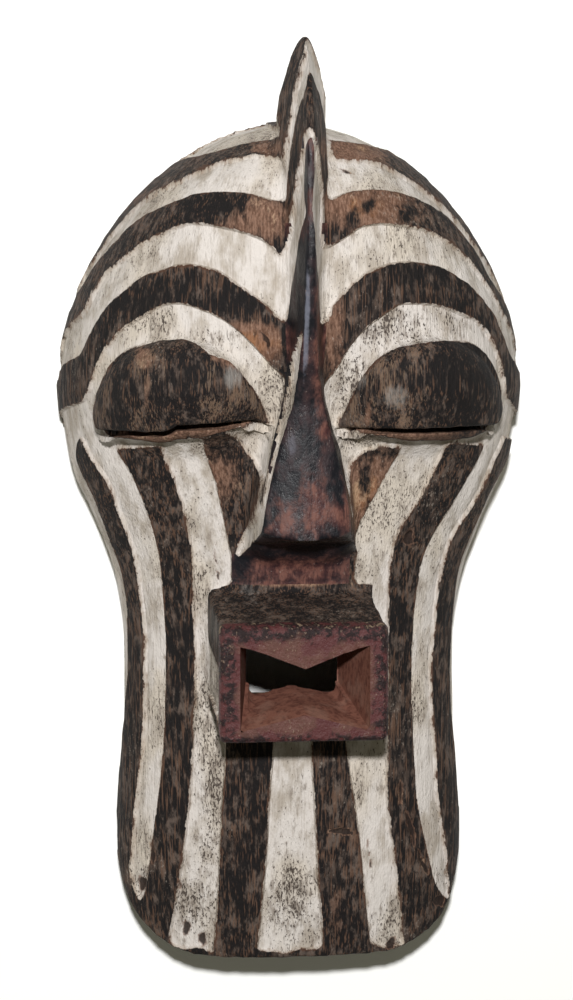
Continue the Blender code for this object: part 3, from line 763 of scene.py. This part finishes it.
def burnished_soot(colours):
    """The nose and the ridge, rubbed by hands: waxy blue-black and wine brown with small sharp glints."""
    material, tree, shader, f = start_material("Soot burnished by handling", {
        "fibre": (1.0, 16, 2.0, 0.55), "specks": (1.3, 2.2, 3.0, 0.65), "mottle": (5, 8, 5.0, 0.66),
        "clouds": (13, 24, 4.0, 0.6)})
    for name in ("rust", "bloom_and_highlight"):
        f[name] = add(tree, "Attribute", attribute_name=name).outputs["Fac"]
    wine = coats(tree, linear("#452a29"), [
        ([(f["mottle"], 1.0), (f["clouds"], 0.5)], 0.64, 0.90, 0.9, linear("#6f4a40")),
        ([(f["fibre"], 1.0)], 0.50, 0.66, 0.5, linear("#22191b"))])
    look = coats(tree, linear("#17171b"), [
        ([(f["clouds"], 1.0), (f["mottle"], 0.5)], 0.66, 0.90, 0.8, linear("#35282a")),
        ([(f["rust"], 1.0), (f["mottle"], 1.4), (f["clouds"], 1.2)], 1.45, 2.35, 0.95, wine),
        # Grey-blue bloom; down the ridge's top this coat is a painted highlight.
        ([(f["bloom_and_highlight"], 1.0), (f["mottle"], 1.4), (f["clouds"], 0.6)], 1.6, 2.5, 0.7, linear("#71737f")),
        ([(f["specks"], 1.0), (f["clouds"], 0.3)], 0.80, 0.90, 0.5, linear("#8d7b72"))])
    height = add(tree, "Math", {0: f["mottle"], 1: 1.6, 2: f["specks"]}, operation='MULTIPLY_ADD')
    bump = add(tree, "Bump", {"Height": height.outputs[0], "Strength": 0.45, "Distance": 0.7 * MM})
    rough = add(tree, "MapRange", {"Value": f["mottle"], "From Min": 0.3, "From Max": 0.7, "To Min": 0.28,
                                   "To Max": 0.62})
    tree.links.new(look, shader.inputs["Base Color"])
    tree.links.new(rough.outputs[0], shader.inputs["Roughness"])
    tree.links.new(bump.outputs[0], shader.inputs["Normal"])
    shader.inputs["Specular IOR Level"].default_value = 0.2
    return material


def camwood_paste(colours):
    """Red camwood paste on the lips, burnished by handling: dark wine red with a waxy shine."""
    material, tree, shader, f = start_material("Burnished red camwood paste", {
        "mottle": (5, 5, 5.0, 0.68), "clouds": (15, 15, 3.0, 0.6), "specks": (1.3, 1.8, 3.0, 0.65)})
    for name in ("inner", "edge"):
        f[name] = add(tree, "Attribute", attribute_name="lip_" + name).outputs["Fac"]
    look = coats(tree, colours.lips, [
        ([(f["mottle"], 1.0), (f["clouds"], 0.5), (f["inner"], -0.1)], 0.66, 0.80, 0.95, linear("#1b1112")),
        ([(f["inner"], 0.30), (f["clouds"], 1.0), (f["mottle"], 0.4)], 0.86, 1.05, 0.8, linear("#5f3f37")),
        ([(f["specks"], 1.0), (f["clouds"], 0.3)], 0.79, 0.87, 0.6, linear("#84705f")),
        ([(f["edge"], 1.0), (f["mottle"], 2.0), (f["specks"], 1.0)], 2.60, 2.85, 0.8, linear("#8d7863"))])
    height = add(tree, "Math", {0: f["mottle"], 1: 1.8, 2: f["specks"]}, operation='MULTIPLY_ADD')
    bump = add(tree, "Bump", {"Height": height.outputs[0], "Strength": 0.9, "Distance": 0.8 * MM})
    rough = add(tree, "MapRange", {"Value": f["mottle"], "From Min": 0.3, "From Max": 0.7, "To Min": 0.34,
                                   "To Max": 0.8})
    tree.links.new(look, shader.inputs["Base Color"])
    tree.links.new(rough.outputs[0], shader.inputs["Roughness"])
    tree.links.new(bump.outputs[0], shader.inputs["Normal"])
    shader.inputs["Specular IOR Level"].default_value = 0.28
    return material


def mouth_wood(colours):
    """Red earth rubbed into the knife-cut walls of the mouth: dull terracotta."""
    material, tree, shader, f = start_material("Red earth on cut wood", {
        "streaks": (2.5, 4, 4.0, 0.6), "clouds": (12, 12, 3.0, 0.6)})
    look = coats(tree, colours.mouth, [
        ([(f["streaks"], 1.0)], 0.42, 0.66, 0.8, linear("#4f2d25")),
        ([(f["clouds"], 1.0)], 0.46, 0.66, 0.35, linear("#8a6a5c"))])
    bump = add(tree, "Bump", {"Height": f["streaks"], "Strength": 0.6, "Distance": 0.7 * MM})
    tree.links.new(look, shader.inputs["Base Color"])
    tree.links.new(bump.outputs[0], shader.inputs["Normal"])
    shader.inputs["Roughness"].default_value = 0.8
    shader.inputs["Specular IOR Level"].default_value = 0.2
    return material


def gouged_wood(colours):
    """Bare softwood from the gouge, browned by age and a wearer's face: dull, with open grain."""
    material, tree, shader, f = start_material("Bare gouged softwood", {
        "fibre": (1.2, 26, 3.0, 0.55), "clouds": (26, 40, 4.0, 0.55)})
    look = coats(tree, colours.inside, [
        ([(f["fibre"], 1.0)], 0.40, 0.64, 0.85, linear("#3f2b20")),
        ([(f["clouds"], 1.0)], 0.42, 0.68, 0.55, linear("#2e211b"))])
    bump = add(tree, "Bump", {"Height": f["fibre"], "Strength": 0.6, "Distance": 0.5 * MM})
    tree.links.new(look, shader.inputs["Base Color"])
    tree.links.new(bump.outputs[0], shader.inputs["Normal"])
    shader.inputs["Roughness"].default_value = 0.78
    return material


def give_materials(piece, colours):
    """Painted wood outside, burnished ridge, camwood on the lips, red earth in the mouth, bare inside."""
    mesh = piece.data
    for make in (painted_wood, camwood_paste, mouth_wood, gouged_wood, burnished_soot):
        mesh.materials.append(make(colours))
    inside, polish = load_values(mesh, "inside"), load_values(mesh, "polish")
    count = len(mesh.polygons)
    centres = np.zeros(count * 3)
    mesh.polygons.foreach_get("center", centres)
    centres = centres.reshape(-1, 3) / MM
    hidden = np.array([min(inside[i] for i in f.vertices) > 0.5 for f in mesh.polygons])
    rubbed = np.array([min(polish[i] for i in f.vertices) > 0.5 for f in mesh.polygons])
    across, up, out = in_mouth(centres)
    slot = np.where(hidden, 3, np.where(rubbed, 4, 0))
    box = within(across, up, (45, 32))
    in_opening = within(across, up, (32.5, 22)) & (out > 3) & (out < 46.3) & ~hidden
    slot[in_opening] = 2
    slot[box & (out > 43.5) & ~in_opening] = 1
    mesh.polygons.foreach_set("material_index", slot.astype(np.int32))


class MASK_OT_carve(bpy.types.Operator):
    """Carve the mask's bands, lids, chips and hollow over the plain solid and give it its finishes"""
    bl_idname = "mask.carve"
    bl_label = "Carve mask"

    def execute(self, context):
        sizes, colours = context.scene.carving_sizes, context.scene.finish_colours
        piece, solid = rough_out(sizes)
        cut_opening(piece)
        carve(piece, solid, sizes)
        give_materials(piece, colours)
        activate(piece)
        bpy.ops.object.shade_smooth_by_angle(angle=math.radians(50))
        if len(piece.data.polygons) == 0:
            raise RuntimeError("the mask has no surface")
        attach(piece, "root")
        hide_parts("mask")
        return {'FINISHED'}


def add_floor(colours):
    bpy.ops.object.select_all(action='DESELECT')
    bpy.ops.mesh.primitive_plane_add(size=8.0, location=(0, 0, LOW.z))
    floor = bpy.context.active_object
    floor.name = "floor"
    material, tree, shader, fields = start_material("Matt white paper", {})
    shader.inputs["Base Color"].default_value = colours.floor
    shader.inputs["Roughness"].default_value = 0.9
    floor.data.materials.append(material)


def aim(obj, direction, target, distance):
    """Put a camera or light at this distance from the target, looking at it, with the crest upwards."""
    back = direction.normalized()
    right = Vector((0, 1, 0)).cross(back).normalized()
    obj.location = target + distance * back
    obj.rotation_euler = Matrix((right, back.cross(right), back)).transposed().to_euler()


PHOTO = (573, 1000)         # the photo's size in pixels
PHOTO_MIDDLE = 288.0        # the pixel column that the camera looks at
PIXEL = 0.54 * MM           # width of a pixel of the photo at the camera's target


def add_camera(settings):
    camera = bpy.data.cameras.new("camera")
    obj = bpy.data.objects.new("camera", camera)
    bpy.context.scene.collection.objects.link(obj)
    direction = Vector((-math.tan(settings.aside), math.tan(settings.above), 1))
    aim(obj, direction, Vector((0, 0, 20 * MM)), settings.distance)
    camera.sensor_fit = 'VERTICAL'
    camera.sensor_height = camera.sensor_width
    camera.lens = camera.sensor_height * settings.distance / (PIXEL * PHOTO[1])
    camera.shift_x = (PHOTO[0] / 2 - PHOTO_MIDDLE) / PHOTO[1]
    bpy.context.scene.camera = obj


def add_light(name, power, width, direction, distance):
    light = bpy.data.lights.new(name, 'AREA')
    light.energy = power
    light.shape = 'DISK'
    light.size = width
    obj = bpy.data.objects.new(name, light)
    bpy.context.scene.collection.objects.link(obj)
    aim(obj, direction, Vector((0, 0, 0.05)), distance)


class MASK_OT_stage(bpy.types.Operator):
    """Lay a pale floor under the mask and set the camera and the soft studio light"""
    bl_idname = "mask.stage"
    bl_label = "Set stage"

    def execute(self, context):
        scene = context.scene
        settings = scene.stage_settings
        add_floor(scene.finish_colours)
        add_camera(settings)
        to_key = Vector((-0.09, math.tan(settings.light_tilt), 1))
        add_light("key light", settings.light_power, 0.09, to_key, 1.7)
        add_light("fill light", 1.0, 1.2, Vector((0.1, -0.35, 1)), 1.8)
        world = bpy.data.worlds.new("studio")
        world.use_nodes = True
        world.node_tree.nodes["Background"].inputs["Color"].default_value = (1, 0.96, 0.66, 1)
        world.node_tree.nodes["Background"].inputs["Strength"].default_value = 0.095
        scene.world = world
        scene.view_settings.view_transform = 'Standard'
        return {'FINISHED'}


class MASK_PT_panel(bpy.types.Panel):
    """Sizes, colours and the steps that make the mask"""
    bl_idname = "MASK_PT_panel"
    bl_label = "Mask"
    bl_space_type = 'VIEW_3D'
    bl_region_type = 'UI'
    bl_category = "Mask"

    def draw(self, context):
        scene = context.scene
        for group in (scene.carving_sizes, scene.finish_colours, scene.stage_settings):
            column = self.layout.column()
            for name in group.__annotations__:
                column.prop(group, name)
        self.layout.operator(MASK_OT_carve.bl_idname)
        self.layout.operator(MASK_OT_stage.bl_idname)


CLASSES = (CarvingSizes, FinishColours, StageSettings, MASK_OT_carve, MASK_OT_stage, MASK_PT_panel)


def register():
    for cls in CLASSES:
        bpy.utils.register_class(cls)
    bpy.types.Scene.carving_sizes = PointerProperty(type=CarvingSizes)
    bpy.types.Scene.finish_colours = PointerProperty(type=FinishColours)
    bpy.types.Scene.stage_settings = PointerProperty(type=StageSettings)


def unregister():
    del bpy.types.Scene.carving_sizes
    del bpy.types.Scene.finish_colours
    del bpy.types.Scene.stage_settings
    for cls in reversed(CLASSES):
        bpy.utils.unregister_class(cls)


def main():
    register()
    bpy.ops.mask.carve()
    bpy.ops.mask.stage()


if __name__ == "__main__":
    main()
